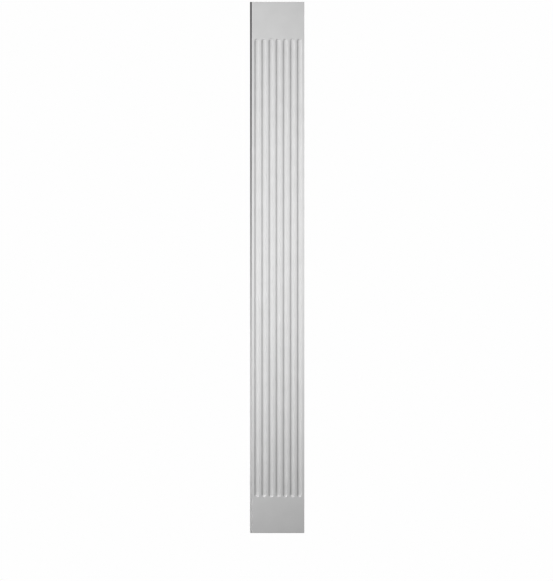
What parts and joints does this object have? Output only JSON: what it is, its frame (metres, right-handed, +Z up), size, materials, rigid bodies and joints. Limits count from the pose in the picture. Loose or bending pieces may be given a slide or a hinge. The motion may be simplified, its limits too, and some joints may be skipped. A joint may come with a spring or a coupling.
{
  "type": "pilaster",
  "caption": "Tall flat wall pilaster with round-ended vertical flutes between plain end blocks, fixed against a wall beside a doorway or opening as trim.",
  "frame": {"origin": "centre of the flat back face, the face that is fixed against the wall", "axes": "+Z up along the length, +Y into the wall, -Y the way the fluted face looks, +X to the right as seen from the front"},
  "size_m": [0.2286, 0.0508, 2.286],
  "materials": {
    "pilaster": "factory-primed white rigid polyurethane, dull eggshell sheen"
  },
  "bodies": {
    "root": {"pilaster": "pilaster"}
  },
  "joints": []
}
